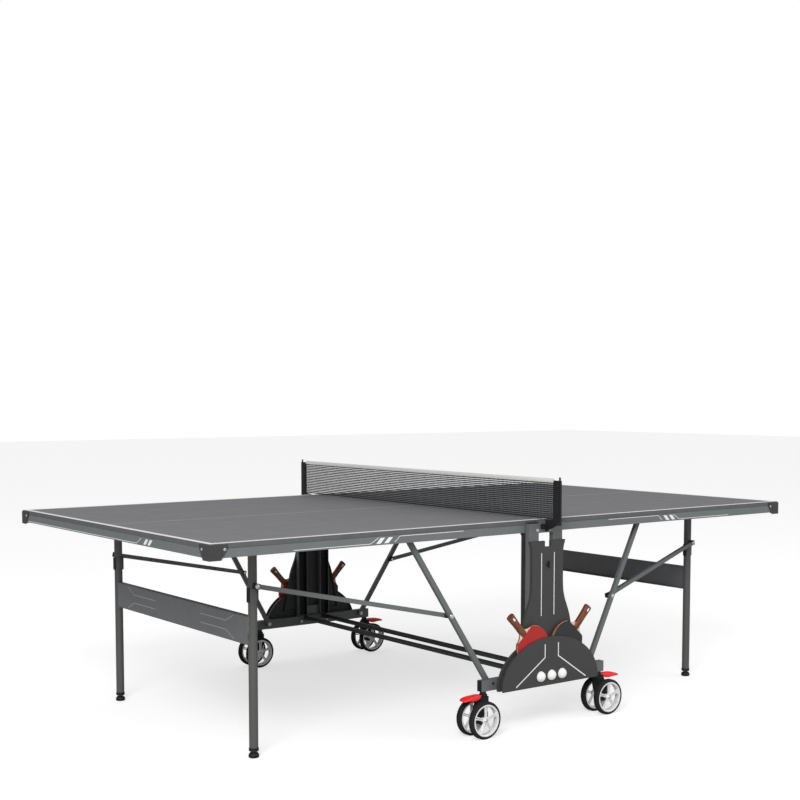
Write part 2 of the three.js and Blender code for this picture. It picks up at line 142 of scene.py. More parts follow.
class Nodes:
    """A short way to make one node material."""

    def __init__(self, name):
        self.material = bpy.data.materials.new(name)
        self.material.use_nodes = True
        self.tree = self.material.node_tree
        self.surface = self.tree.nodes["Principled BSDF"]
        self.where = self.make("ShaderNodeTexCoord")

    def make(self, kind, **settings):
        node = self.tree.nodes.new(kind)
        for key, value in settings.items():
            setattr(node, key, value)
        return node

    def link(self, source, target):
        self.tree.links.new(source, target)

    def stretched(self, scale, turn=(0, 0, 0)):
        mapping = self.make("ShaderNodeMapping")
        mapping.inputs["Scale"].default_value = scale
        mapping.inputs["Rotation"].default_value = turn
        self.link(self.where.outputs["Object"], mapping.inputs["Vector"])
        return mapping.outputs["Vector"]

    def noise(self, scale, detail=3.0, roughness=0.55, vector=None, distortion=0.0):
        node = self.make("ShaderNodeTexNoise")
        node.inputs["Scale"].default_value = scale
        node.inputs["Detail"].default_value = detail
        node.inputs["Roughness"].default_value = roughness
        node.inputs["Distortion"].default_value = distortion
        self.link(vector or self.where.outputs["Object"], node.inputs["Vector"])
        return node.outputs["Fac"]

    def ramp(self, factor, *stops):
        node = self.make("ShaderNodeValToRGB")
        points = node.color_ramp.elements
        while len(points) < len(stops):
            points.new(0.5)
        for point, (place, colour) in zip(points, stops):
            point.position = place
            point.color = colour
        self.link(factor, node.inputs["Fac"])
        return node.outputs["Color"]

    def spread(self, factor, low, high, source=(0.3, 0.7)):
        node = self.make("ShaderNodeMapRange")
        node.inputs["From Min"].default_value = source[0]
        node.inputs["From Max"].default_value = source[1]
        node.inputs["To Min"].default_value = low
        node.inputs["To Max"].default_value = high
        self.link(factor, node.inputs["Value"])
        return node.outputs["Result"]

    def blend(self, factor, first, second, mode="MIX"):
        node = self.make("ShaderNodeMix", data_type="RGBA", blend_type=mode)
        self.put(factor, node.inputs["Factor"])
        colour_inputs = [socket for socket in node.inputs if socket.type == "RGBA"]
        self.put(first, colour_inputs[0])
        self.put(second, colour_inputs[1])
        return next(socket for socket in node.outputs if socket.type == "RGBA")

    def maths(self, operation, first, second):
        node = self.make("ShaderNodeMath", operation=operation)
        self.put(first, node.inputs[0])
        self.put(second, node.inputs[1])
        return node.outputs["Value"]

    def put(self, value, socket):
        if isinstance(value, bpy.types.NodeSocket):
            self.link(value, socket)
        else:
            socket.default_value = value

    def bump(self, height, strength, depth, under=None):
        node = self.make("ShaderNodeBump")
        node.inputs["Strength"].default_value = strength
        node.inputs["Distance"].default_value = depth
        self.link(height, node.inputs["Height"])
        if under is not None:
            self.link(under, node.inputs["Normal"])
        return node.outputs["Normal"]

    def finish(self, colour, roughness, normal, metallic=0.0, specular=0.5):
        self.put(colour, self.surface.inputs["Base Color"])
        self.put(roughness, self.surface.inputs["Roughness"])
        self.link(normal, self.surface.inputs["Normal"])
        self.surface.inputs["Metallic"].default_value = metallic
        self.surface.inputs["Specular IOR Level"].default_value = specular
        return self.material


def coated(name, colour, roughness=0.45, grain=0.9, strength=0.25, spread=0.06, metallic=0.0, specular=0.5):
    """Paint, moulding or rubber: a fine grain in mm, faint cloudiness, and rubbed patches in the gloss."""
    n = Nodes(name)
    clouds = n.noise(9.0, 4.0)
    fine = n.noise(1.0 / (grain * MM), 2.0, 0.6)
    speck = n.noise(420.0, 1.0)
    tint = n.ramp(clouds, (0.3, shade(colour, 1 - spread)), (0.7, shade(colour, 1 + spread)))
    tint = n.blend(n.spread(speck, 0.0, 0.5, (0.45, 0.75)), tint, shade(colour, 1 + 2 * spread))
    gloss = n.spread(n.noise(24.0, 5.0, 0.65), roughness - 0.07, roughness + 0.09)
    return n.finish(tint, gloss, n.bump(fine, strength, 0.12 * grain * MM), metallic, specular)


def playing_surface():
    """Matt roller-coated top, and the smoother, darker lacquer on the board's edges."""
    n = Nodes("playing_surface")
    top = rgb(119, 119, 122)
    clouds = n.noise(2.2, 5.0, 0.6)
    roller = n.noise(700.0, 2.0, 0.6, n.stretched((0.35, 1.0, 1.0)))
    tint = n.ramp(clouds, (0.3, shade(top, 0.975)), (0.7, shade(top, 1.025)))
    tint = n.blend(n.spread(roller, 0.0, 0.35), tint, shade(top, 1.12))
    facing = n.make("ShaderNodeSeparateXYZ")
    n.link(n.where.outputs["Normal"], facing.inputs["Vector"])
    upward = n.spread(facing.outputs["Z"], 0.0, 1.0, (0.55, 0.8))
    edge = n.ramp(n.noise(30.0, 3.0), (0.3, rgb(89, 90, 92)), (0.7, rgb(96, 97, 99)))
    gloss = n.spread(n.noise(14.0, 5.0, 0.6), 0.56, 0.68)
    return n.finish(n.blend(upward, edge, tint), gloss, n.bump(roller, 0.3, 0.00006), 0.0, 0.3)


def plated_steel(name="plated_steel", colour=rgb(205, 206, 208)):
    n = Nodes(name)
    turned = n.noise(900.0, 2.0, 0.6)
    tint = n.ramp(n.noise(160.0, 3.0), (0.3, shade(colour, 0.86)), (0.7, colour))
    gloss = n.spread(n.noise(300.0, 3.0), 0.22, 0.38)
    return n.finish(tint, gloss, n.bump(turned, 0.15, 0.00003), 0.9)


def rim_paint():
    """Bright silver lacquer with fine flakes on the wheel rims."""
    n = Nodes("rim_silver")
    colour = rgb(240, 240, 241)
    flakes = n.make("ShaderNodeTexVoronoi")
    flakes.inputs["Scale"].default_value = 2400.0
    n.link(n.where.outputs["Object"], flakes.inputs["Vector"])
    tint = n.ramp(flakes.outputs["Distance"], (0.0, shade(colour, 1.04)), (0.8, shade(colour, 0.9)))
    gloss = n.spread(n.noise(60.0, 4.0), 0.24, 0.36)
    return n.finish(tint, gloss, n.bump(n.noise(500.0, 2.0), 0.1, 0.00003), 0.15)


def ink(name, colour):
    """A printed line: slightly uneven, rubbed thin in places."""
    n = Nodes(name)
    worn = n.noise(220.0, 4.0, 0.7)
    tint = n.ramp(worn, (0.25, shade(colour, 0.8)), (0.45, colour), (0.75, shade(colour, 1.04)))
    gloss = n.spread(n.noise(50.0, 3.0), 0.45, 0.6)
    return n.finish(tint, gloss, n.bump(worn, 0.2, 0.00003), 0.0, 0.4)


def wood(name, turn, light, dark):
    """Varnished wood with its grain along the handle, which leans by the given turn about Y."""
    n = Nodes(name)
    along = n.stretched((1.0, 1.0, 0.07), (0, turn, 0))
    rings = n.noise(190.0, 3.0, 0.6, along, 0.6)
    pores = n.noise(1100.0, 2.0, 0.7, n.stretched((1.0, 1.0, 0.03), (0, turn, 0)))
    tint = n.ramp(rings, (0.32, dark), (0.5, shade(light, 0.8)), (0.68, light))
    tint = n.blend(n.spread(pores, 0.0, 0.55, (0.52, 0.75)), tint, shade(dark, 0.6))
    gloss = n.spread(rings, 0.32, 0.5)
    return n.finish(tint, gloss, n.bump(pores, 0.25, 0.0001), 0.0)


def plywood_edge(name, turn):
    """The blade's core: a pale veneer on its faces, and thin plies seen on edge."""
    n = Nodes(name)
    split = n.make("ShaderNodeSeparateXYZ")
    n.link(n.where.outputs["Object"], split.inputs["Vector"])
    plies = n.maths("FRACT", n.maths("MULTIPLY", split.outputs["Y"], 830.0), 0.0)
    grain = n.noise(260.0, 3.0, 0.6, n.stretched((1.0, 1.0, 0.1), (0, turn, 0)))
    tint = n.ramp(plies, (0.0, rgb(122, 78, 46)), (0.5, rgb(158, 108, 66)), (1.0, rgb(104, 62, 36)))
    tint = n.blend(n.spread(grain, 0.0, 0.5), tint, rgb(92, 54, 32))
    facing = n.make("ShaderNodeSeparateXYZ")
    n.link(n.where.outputs["Normal"], facing.inputs["Vector"])
    flat = n.spread(n.maths("ABSOLUTE", facing.outputs["Y"], 0.0), 0.0, 1.0, (0.6, 0.9))
    veneer = n.ramp(grain, (0.3, rgb(214, 184, 148)), (0.7, rgb(240, 220, 192)))
    tint = n.blend(flat, tint, veneer)
    return n.finish(tint, n.spread(grain, 0.4, 0.55), n.bump(grain, 0.3, 0.0001))


def woven(name, colour, pitch, strength=0.6):
    """A plain weave with crossing bands of the given pitch in mm, with painted shade darkening its low spots
    between the threads.
    """
    n = Nodes(name)
    radians_per_band = 6.283
    wave = n.make("ShaderNodeTexWave", wave_type="BANDS", bands_direction="Y")
    cross = n.make("ShaderNodeTexWave", wave_type="BANDS", bands_direction="Z")
    for node in (wave, cross):
        node.inputs["Scale"].default_value = 1.0 / (pitch * MM) / radians_per_band
        node.inputs["Distortion"].default_value = 0.4
        n.link(n.where.outputs["Object"], node.inputs["Vector"])
    height = n.maths("MULTIPLY", wave.outputs["Fac"], cross.outputs["Fac"])
    # Painted shade: where the crossing bands dip, the weave's colour is darkened towards 0.72 of itself.
    tint = n.ramp(height, (0.0, shade(colour, 0.72)), (0.6, colour))
    tint = n.blend(n.spread(n.noise(40.0, 4.0), 0.0, 0.25), tint, shade(colour, 0.85))
    material = n.finish(tint, n.spread(n.noise(90.0, 3.0), 0.75, 0.92), n.bump(height, strength, 0.0002))
    n.surface.inputs["Sheen Weight"].default_value = 0.15
    return material


FINISH = {
    "playing_surface": playing_surface(),
    "apron": coated("apron_enamel", rgb(112, 116, 117), 0.5, 0.9, 0.22, 0.03, 0.15, 0.4),
    "frame_tube": coated("frame_enamel", rgb(105, 108, 108), 0.46, 0.8, 0.3, 0.04, 0.2, 0.45),
    "leg_tube": coated("leg_enamel", rgb(89, 90, 88), 0.46, 0.8, 0.3, 0.04, 0.2, 0.45),
    "stretcher": coated("stretcher_enamel", rgb(112, 113, 115), 0.48, 0.8, 0.25, 0.03, 0.2, 0.4),
    "dark_bar": coated("cross_bar_enamel", rgb(50, 52, 52), 0.45, 0.8, 0.3, 0.05, 0.2),
    "black_plastic": coated("black_moulding", rgb(27, 27, 28), 0.58, 0.7, 0.5, 0.08, 0.0, 0.3),
    "guard_plastic": coated("guard_moulding", rgb(59, 59, 59), 0.6, 0.7, 0.5, 0.05, 0.0, 0.4),
    "cover_plastic": coated("cover_moulding", rgb(61, 61, 61), 0.58, 0.8, 0.45, 0.04, 0.0, 0.4),
    "tyre": coated("tyre_rubber", rgb(31, 31, 32), 0.8, 0.6, 0.5, 0.12, 0.0, 0.3),
    "brake_red": coated("brake_red_moulding", rgb(250, 48, 52), 0.38, 0.9, 0.2, 0.04),
    "red_rubber": coated("red_sheet_rubber", rgb(172, 30, 30), 0.5, 0.5, 0.35, 0.05),
    "black_rubber": coated("black_sheet_rubber", rgb(38, 38, 39), 0.5, 0.5, 0.35, 0.08),
    "ball": coated("ball_plastic", rgb(246, 246, 243), 0.42, 0.5, 0.15, 0.015),
    "netting": coated("net_cord", rgb(42, 44, 45), 0.88, 0.35, 0.9, 0.12, 0.0, 0.25),
    "net_tape": woven("net_tape", rgb(236, 236, 234), 0.8),
    "steel": plated_steel("plated_steel", rgb(226, 227, 229)),
    "dark_steel": plated_steel("blackened_steel", rgb(62, 63, 64)),
    "rim": rim_paint(),
    "white_ink": ink("white_line_ink", rgb(238, 238, 236)),
    "grey_ink": ink("grey_line_ink", rgb(186, 188, 189)),
    "centre_ink": ink("centre_line_ink", rgb(178, 178, 180)),
}
WOOD = {
    sign: wood(f"handle_wood_{end}", sign * PADDLE["tilt"] * -1, rgb(132, 74, 44), rgb(74, 36, 22))
    for end, sign in ENDS.items()
}
PLY = {sign: plywood_edge(f"blade_ply_{end}", -sign * PADDLE["tilt"]) for end, sign in ENDS.items()}


# ------------------------------------------------------------------ mesh helpers
def on_plane(across, a, b, c):
    """A point from two outline coordinates and one along the axis that the outline is drawn across."""
    return {"x": (c, a, b), "y": (a, c, b), "z": (a, b, c)}[across]


def plate(bm, outline, low, high, across="y", holes=(), material=0):
    """A flat outline with holes, given a thickness between two planes."""
    edges = []
    for loop in (outline, *holes):
        ring = [bm.verts.new(on_plane(across, a, b, low)) for a, b in loop]
        edges += [bm.edges.new((ring[i - 1], ring[i])) for i in range(len(ring))]
    filled = bmesh.ops.triangle_fill(bm, use_beauty=True, use_dissolve=False, edges=edges)
    faces = [f for f in filled["geom"] if isinstance(f, bmesh.types.BMFace)]
    grown = bmesh.ops.extrude_face_region(bm, geom=faces)["geom"]
    corners = [v for v in grown if isinstance(v, bmesh.types.BMVert)]
    bmesh.ops.translate(bm, verts=corners, vec=Vector(on_plane(across, 0, 0, high - low)))
    for vertex in corners:
        for face in vertex.link_faces:
            face.material_index = material
    for face in faces:
        face.material_index = material


def box(bm, x0, x1, y0, y1, z0, z1, material=0):
    plate(bm, [(x0, z0), (x1, z0), (x1, z1), (x0, z1)], y0, y1, "y", (), material)


def loft(bm, rings, material=0, capped=True, looped=False):
    """Skins a row of rings with the same number of points. A ring of one point closes to a tip."""
    made = [[bm.verts.new(point) for point in ring] for ring in rings]
    pairs = list(zip(made, made[1:]))
    if looped:
        pairs.append((made[-1], made[0]))
    count = max(len(ring) for ring in made)
    for first, second in pairs:
        for i in range(count):
            j = (i + 1) % count
            corners = []
            for ring, place in ((first, i), (first, j), (second, j), (second, i)):
                vertex = ring[place % len(ring)]
                if vertex not in corners:
                    corners.append(vertex)
            bm.faces.new(corners).material_index = material
    if capped and not looped:
        for ring in (made[0], made[-1]):
            if len(ring) > 2:
                bm.faces.new(ring).material_index = material


def lathe(bm, profile, centre, axis="z", segments=48, material=0, looped=False):
    """Turns (radius, height) points about an axis through a centre."""
    rings = []
    for radius, height in profile:
        count = segments if radius > 1e-6 else 1
        ring = []
        for i in range(count):
            angle = 2 * math.pi * i / segments
            spot = on_plane(axis, radius * math.cos(angle), radius * math.sin(angle), height)
            ring.append(tuple(c + s for c, s in zip(centre, spot)))
        rings.append(ring)
    loft(bm, rings, material, True, looped)


def rod(bm, start, end, radius, segments=16, chamfer=0.4, material=0):
    """A round bar with slightly broken edges between two points."""
    start, end = Vector(start), Vector(end)
    along = (end - start).normalized()
    side = along.orthogonal().normalized()
    other = along.cross(side)
    length = (end - start).length
    rings = []
    narrow = radius - chamfer
    for at, wide in ((0, narrow), (chamfer, radius), (length - chamfer, radius), (length, narrow)):
        rings.append([
            start + along * at
            + side * wide * math.cos(2 * math.pi * i / segments)
            + other * wide * math.sin(2 * math.pi * i / segments)
            for i in range(segments)
        ])
    loft(bm, rings, material)


def bolt(bm, place, facing, radius=6.0, height=4.0, material=0):
    """A domed head on a washer, facing along +1 or -1 times an axis."""
    axis = facing[-1]
    sign = -1 if facing[0] == "-" else 1
    washer, half = radius + 2.5, 0.5 * height
    profile = [
        (0, -0.5), (washer, -0.5), (washer, 0.9), (radius + 2.1, 1.3), (radius, 1.3), (radius, half),
        (radius * 0.86, 0.82 * height), (radius * 0.5, height), (radius * 0.46, height),
        (radius * 0.4, half), (0, half),
    ]
    lathe(bm, [(r, sign * h) for r, h in profile], place, axis, 20, material)


def outward(side):
    """The direction of y that points away from the table on this side."""
    return "+y" if side > 0 else "-y"


def inward(side):
    return outward(-side)


def hex_nut(bm, place, facing, across=10.0, height=5.0, material=0):
    axis = facing[-1]
    sign = -1 if facing[0] == "-" else 1
    radius = across / math.sqrt(3)
    washer = radius + 2.6
    lathe(bm, [(0, -0.3), (washer, -0.3), (washer, sign), (0, sign)], place, axis, 20, material)
    low, high = sorted((sign * 0.9, sign * height))
    profile = [(0, low), (radius, low), (radius, high - 0.6), (radius * 0.9, high), (0, high)]
    lathe(bm, profile, place, axis, 6, material)


def stripe(points, width):
    """The outline of a line of even width through points, with mitred corners."""
    left, right = [], []
    for i, point in enumerate(points):
        before = points[i - 1] if i else None
        after = points[i + 1] if i + 1 < len(points) else None
        normals = []
        for a, b in ((before, point), (point, after)):
            if a is not None and b is not None:
                run = math.hypot(b[0] - a[0], b[1] - a[1])
                normals.append((-(b[1] - a[1]) / run, (b[0] - a[0]) / run))
        nx = sum(n[0] for n in normals)
        ny = sum(n[1] for n in normals)
        size = math.hypot(nx, ny)
        nx, ny = nx / size, ny / size
        reach = width / 2 / (nx * normals[0][0] + ny * normals[0][1])
        left.append((point[0] + nx * reach, point[1] + ny * reach))
        right.append((point[0] - nx * reach, point[1] - ny * reach))
    return left + right[::-1]


def circle(x, z, radius, count=48):
    """Points round a circle."""
    return [
        (x + radius * math.cos(2 * math.pi * i / count), z + radius * math.sin(2 * math.pi * i / count))
        for i in range(count)
    ]


def smooth_by_angle(degrees):
    """A node group that welds a CAD mesh and shades it smooth except at edges sharper than the angle."""
    group = bpy.data.node_groups.new(f"weld_and_smooth_{degrees}", "GeometryNodeTree")
    group.interface.new_socket("Geometry", in_out="INPUT", socket_type="NodeSocketGeometry")
    group.interface.new_socket("Geometry", in_out="OUTPUT", socket_type="NodeSocketGeometry")
    make = group.nodes.new
    start, end = make("NodeGroupInput"), make("NodeGroupOutput")
    weld = make("GeometryNodeMergeByDistance")
    weld.inputs["Distance"].default_value = 0.00001
    plain = make("GeometryNodeRemoveAttribute")
    plain.inputs["Name"].default_value = "custom_normal"
    soft = make("GeometryNodeSetShadeSmooth")
    soft.domain = "FACE"
    crisp = make("GeometryNodeSetShadeSmooth")
    crisp.domain = "EDGE"
    crisp.inputs["Shade Smooth"].default_value = False
    every = make("GeometryNodeSetShadeSmooth")
    every.domain = "EDGE"
    angle = make("GeometryNodeInputMeshEdgeAngle")
    sharp = make("FunctionNodeCompare")
    sharp.data_type = "FLOAT"
    sharp.operation = "GREATER_THAN"
    sharp.inputs[1].default_value = math.radians(degrees)
    chain = (start, weld, plain, soft, every, crisp, end)
    for first, second in zip(chain, chain[1:]):
        group.links.new(first.outputs[0], second.inputs[0])
    group.links.new(angle.outputs["Unsigned Angle"], sharp.inputs[0])
    group.links.new(sharp.outputs["Result"], crisp.inputs["Selection"])
    return group


SMOOTH = smooth_by_angle(32)


def round_edges(piece, width, segments=2):
    modifier = piece.modifiers.new("rounded_edges", "BEVEL")
    modifier.width = width * MM
    modifier.segments = segments
    modifier.limit_method = "ANGLE"
    modifier.angle_limit = math.radians(40)
    modifier.harden_normals = True


def dress(node, finish, edge=0.8):
    """Gives a CAD node its finish, smooth round faces and rounded edges."""
    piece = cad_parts[node]
    piece.data.materials.clear()
    piece.data.materials.append(FINISH[finish])
    modifier = piece.modifiers.new("weld_and_smooth", "NODES")
    modifier.node_group = SMOOTH
    if edge:
        round_edges(piece, edge)


def build(name, body, shape, finishes, signs=(1, 1), stands_for=(), edge=0.0, crease=35):
    """Makes one piece from a shape drawn in millimetres for the right-hand near corner."""
    bm = bmesh.new()
    shape(bm)
    for vertex in bm.verts:
        vertex.co = Vector((vertex.co.x * signs[0], vertex.co.y * signs[1], vertex.co.z)) * MM
    bmesh.ops.recalc_face_normals(bm, faces=bm.faces)
    mesh = bpy.data.meshes.new(name)
    bm.to_mesh(mesh)
    bm.free()
    mesh.shade_smooth()
    mesh.set_sharp_from_angle(angle=math.radians(crease))
    for finish in finishes:
        mesh.materials.append(FINISH[finish] if isinstance(finish, str) else finish)
    piece = bpy.data.objects.new(name, mesh)
    bpy.context.scene.collection.objects.link(piece)
    if edge:
        round_edges(piece, edge)
    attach(piece, body)
    if stands_for:
        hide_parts(*stands_for)
    return piece


# ------------------------------------------------------------------ table halves
def court_lines(bm):
    """The white border of one half."""
    low, high = TABLE_HEIGHT - PAINT_SINK, TABLE_HEIGHT + PAINT
    inner_y = TABLE_HALF_WIDTH - BORDER_LINE
    outer_y = TABLE_HALF_WIDTH - TRIM
    outer_x = TABLE_HALF_LENGTH - TRIM
    inner_x = TABLE_HALF_LENGTH - BORDER_LINE
    start = CENTRE_GAP + TRIM
    border = [
        (start, -outer_y), (outer_x, -outer_y), (outer_x, outer_y), (start, outer_y),
        (start, inner_y), (inner_x, inner_y), (inner_x, -inner_y), (start, -inner_y),
    ]
    plate(bm, border, low, high, "z")


def centre_line(bm):
    """The thin line that splits one half for doubles."""
    half = CENTRE_LINE / 2
    x0, x1 = CENTRE_GAP + TRIM, TABLE_HALF_LENGTH - BORDER_LINE
    corners = [(x0, -half), (x1, -half), (x1, half), (x0, half)]
    plate(bm, corners, TABLE_HEIGHT - PAINT_SINK, TABLE_HEIGHT + PAINT, "z")


# Side markings in (x, z) for the left half's near face. The halves are alike and turned end for end,
# so the same markings are on the right half's far face, and the other two faces have them nearer the net.
SIDE_LINES = [
    [(370, 739.3), (648, 739.3), (670, 719.8)],
    [(736, 739.3), (771, 720), (1070, 720)],
]
SIDE_SLANTS = [696, 729]  # left ends of the slanted marks, at the bottom
SIDE_SHIFT = -24
# End markings in (y, z), as seen with y growing away from the near side.
END_LINE = [(712, MARK_LOW), (-258, MARK_LOW), (-292, MARK_HIGH)]
END_SLANTS = [-327, -357]
SLANT_WIDTH = 18


def slanted_mark(start):
    """A mark that leans at 45 degrees, with its lower left corner at the start."""
    low, high, lean = MARK_LOW, MARK_HIGH, MARK_LOW - MARK_HIGH
    end = start + SLANT_WIDTH
    return [(start, low), (end, low), (end + lean, high), (start + lean, high)]


def apron_marks(bm):
    """The side markings, on both long faces of one half."""
    for face in (-1, 1):
        out = face * TABLE_HALF_WIDTH
        low, high = sorted((out - face * PAINT_SINK, out + face * PAINT))
        shift = SIDE_SHIFT if face < 0 else 0
        for points in SIDE_LINES:
            line = stripe([(x + shift, z) for x, z in points], LINE_WIDTH["apron"])
            plate(bm, line, low, high, "y")
        for start in SIDE_SLANTS:
            plate(bm, slanted_mark(start + shift), low, high, "y")


def end_marks(bm):
    """The markings on the end face of one half."""
    low, high = TABLE_HALF_LENGTH - PAINT_SINK, TABLE_HALF_LENGTH + PAINT
    plate(bm, stripe(END_LINE, LINE_WIDTH["apron"]), low, high, "x")
    for start in END_SLANTS:
        plate(bm, slanted_mark(start), low, high, "x")


def half_hardware(bm):
    """Screws in the corner guards, and the bolts that pin struts, legs and slides to the rails."""
    for side in (-1, 1):
        screw_z, guard_face, from_end, from_side = 741, 3.3, 51, 44
        y_face = side * (TABLE_HALF_WIDTH + guard_face)
        bolt(bm, (TABLE_HALF_LENGTH - from_end, y_face, screw_z), outward(side), 2.4, 1.8)
        x_face = TABLE_HALF_LENGTH + guard_face
        bolt(bm, (x_face, side * (TABLE_HALF_WIDTH - from_side), screw_z), "+x", 2.4, 1.8)
        for (x, y, z), gap in ((STRUT_TOP, 13.5), ((*LEG, LEG_PIN_Z), 20.0)):
            bolt(bm, (x, side * (y + gap), z), outward(side), 5.0, 4.0)
            hex_nut(bm, (x, side * (y - gap), z), inward(side), 9.0, 5.0)
        bolt(bm, (67, side * TABLE_HALF_WIDTH, 731), outward(side), 3.4, 3.0)


for end, x_sign in ENDS.items():
    body = f"{end}_half"
    dress(f"{end}_top", "playing_surface", 0.9)
    dress(f"{end}_apron_frame", "apron", 1.2)
    build(f"{end}_border_lines", body, court_lines, ["white_ink"], (x_sign, 1))
    build(f"{end}_centre_line", body, centre_line, ["centre_ink"], (x_sign, 1))
    build(f"{end}_side_marks", body, apron_marks, ["white_ink"], (x_sign, x_sign))
    build(f"{end}_end_marks", body, end_marks, ["white_ink"], (x_sign, -x_sign))
    build(f"{end}_half_bolts", body, half_hardware, ["steel"], (x_sign, 1))
    for side in SIDES:
        dress(f"{side}_{end}_corner_guard", "guard_plastic", 1.4)


# ------------------------------------------------------------------ legs
def stretcher_lines(bm):
    """Two bent lines near each end of the stretcher panel."""
    panel_half = 11.0
    face = LEG[0] + panel_half
    low, high = face - PAINT_SINK, face + PAINT
    for side in (-1, 1):
        for level, tip in ((443.5, 468.5), (412, 387)):
            points = [(side * 176, level), (side * 358, level), (side * 411, tip)]
            plate(bm, stripe(points, LINE_WIDTH["stretcher"]), low, high, "x")


def leg_sleeves(bm):
    """The sleeve round each leg just below the end of its link."""
    bottom, top = LEG_SLEEVE
    near, far = LEG_RADIUS + 0.1, LEG_RADIUS + 1.8
    for side in (-1, 1):
        ring = [(near, bottom), (far, bottom + 0.6), (far, top - 0.6), (near, top)]
        lathe(bm, ring, (LEG[0], side * LEG[1], 0), "z", 32, 0, True)


def leg_trim(bm):
    """Dark plates on two faces of each sleeve, and the plug in the tube's end."""
    for side in (-1, 1):
        x, y = LEG[0], side * LEG[1]
        for face in (-1, 1):
            x0, x1 = sorted((x + face * (LEG_RADIUS - 1), x + face * (LEG_RADIUS + 3.2)))
            box(bm, x0, x1, y - 8, y + 8, LEG_SLEEVE[0], LEG_SLEEVE[1] + 1)
        near, far = LEG_RADIUS + 0.1, LEG_RADIUS + 1.4
        lathe(bm, [(near, 23.2), (far, 24), (far, 33), (near, 34)], (x, y, 0), "z", 32, 0, True)


def leg_bolts(bm):
    """The bolt that holds each link to its leg."""
    for side in (-1, 1):
        spot = (LEG[0], side * (LINK_ON_LEG[0] + 8.5), LINK_ON_LEG[1])
        bolt(bm, spot, outward(side), 5.6, 4.5)


def dress_foot(bm):
    """A domed pad with its nut."""
    lathe(bm, [
        (0, 0.2), (15.5, 0.2), (17.4, 1.4), (18, 3.2), (18, 8), (17, 12), (14.5, 15.5), (11, 17.6),
        (8, 18.6), (7.4, 21), (5.8, 21.8), (0, 21.8),
    ], (LEG[0], -LEG[1], 0), "z", 40)


def foot_stem(bm):
    """A threaded stem drawn as a stack of thread crests."""
    profile = [(0, FOOT_TOP)]
    z = FOOT_TOP
    while z < STEM_TOP:
        profile += [(5.0, z), (5.9, z + 0.9)]
        z += 1.8
    profile += [(5.0, z), (0, z)]
    lathe(bm, profile, (LEG[0], -LEG[1], 0), "z", 24)


for end, x_sign in ENDS.items():
    body = f"{end}_legs"
    dress(f"{end}_stretcher_panel", "stretcher", 0.8)
    build(f"{end}_stretcher_lines", body, stretcher_lines, ["grey_ink"], (x_sign, 1))
    build(f"{end}_leg_sleeves", body, leg_sleeves, ["leg_tube"], (x_sign, 1))
    build(f"{end}_leg_trim", body, leg_trim, ["black_plastic"], (x_sign, 1), edge=0.3)
    build(f"{end}_leg_bolts", body, leg_bolts, ["steel"], (x_sign, 1))
    for side, y_sign in SIDES.items():
        dress(f"{side}_{end}_leg", "leg_tube", 0.0)
        foot_body = f"{side}_{end}_foot"
        build(f"{side}_{end}_foot_pad", foot_body, dress_foot, ["black_plastic"], (x_sign, y_sign),
              (f"{side}_{end}_leveler_foot",))
        build(f"{side}_{end}_foot_stem", foot_body, foot_stem, ["steel"], (x_sign, y_sign))


# ------------------------------------------------------------------ struts and links
def strut_point(z):
    """The middle of the near right strut at a height."""
    share = (z - STRUT_FOOT[2]) / (STRUT_TOP[2] - STRUT_FOOT[2])
    return tuple(a + (b - a) * share for a, b in zip(STRUT_FOOT, STRUT_TOP))


def strut_bolts(bm):
    """The bolt and nut that hold each link to its strut."""
    x, y, z = strut_point(JOINT_HEIGHT)
    for side in (-1, 1):
        bolt(bm, (x, side * (y + STRUT_THICKNESS / 2), z), outward(side), 6.0, 4.5)
        hex_nut(bm, (x, side * (LINK_ON_STRUT_Y - 6.8), z), inward(side), 11.0, 6.0)


def link_caps(bm):
    """Moulded end caps: one round each end of a link, the larger one at the leg."""
    x0, _, z0 = strut_point(JOINT_HEIGHT)
    x1, z1 = LEG[0], LINK_ON_LEG[1]
    run = math.hypot(x1 - x0, z1 - z0)
    ux, uz = (x1 - x0) / run, (z1 - z0) / run
    half_thickness = 8.2
    for side in (-1, 1):
        for start, finish, half in ((-9.5, 16.0, 8.8), (run - 12.0, run + 10.5, 9.6)):
            corners = []
            for along, across in ((start, -half), (finish, -half), (finish, half), (start, half)):
                corners.append((x0 + ux * along - uz * across, z0 + uz * along + ux * across))
            share = (start + finish) / 2 / run
            middle = side * (LINK_ON_STRUT_Y + (LINK_ON_LEG[0] - LINK_ON_STRUT_Y) * share)
            plate(bm, corners, middle - half_thickness, middle + half_thickness, "y")


for end, x_sign in ENDS.items():
    build(f"{end}_strut_bolts", f"{end}_struts", strut_bolts, ["steel"], (x_sign, 1))
    build(f"{end}_link_caps", f"{end}_links", link_caps, ["black_plastic"], (x_sign, 1), edge=1.5)
    for side in SIDES:
        dress(f"{side}_{end}_strut", "frame_tube", 1.0)
        dress(f"{side}_{end}_leg_link", "frame_tube", 0.8)
        dress(f"{side}_{end}_slide_block", "black_plastic", 0.8)


# ------------------------------------------------------------------ trolley
def beam_caps(bm):
    """Plugs in the ends of the beam and posts, and one in each hole of the beam's outer face."""
    half, bottom, top = BEAM["half"], BEAM["bottom"], BEAM["bottom"] + BEAM["height"]
    for side in (-1, 1):
        x0, x1 = sorted((side * (half - 6), side * (half + 1.0)))
        box(bm, x0, x1, -FRAME_FACE + 0.4, -BEAM_INSIDE - 0.4, bottom + 0.4, top - 0.4)
        lathe(bm, [(0, 0.6), (4.5, 0.6), (5.4, 0.2), (5.4, -0.6), (0, -0.6)],
              (side * STRUT_FOOT[0], -FRAME_FACE, STRUT_FOOT[2]), "y", 20)
        inside = POST_HALF - 0.5
        x0, x1 = sorted((side * (POST_X - inside), side * (POST_X + inside)))
        box(bm, x0, x1, -FRAME_FACE - 0.4, -FRAME_FACE + 19.9, 748.6, 751.4)


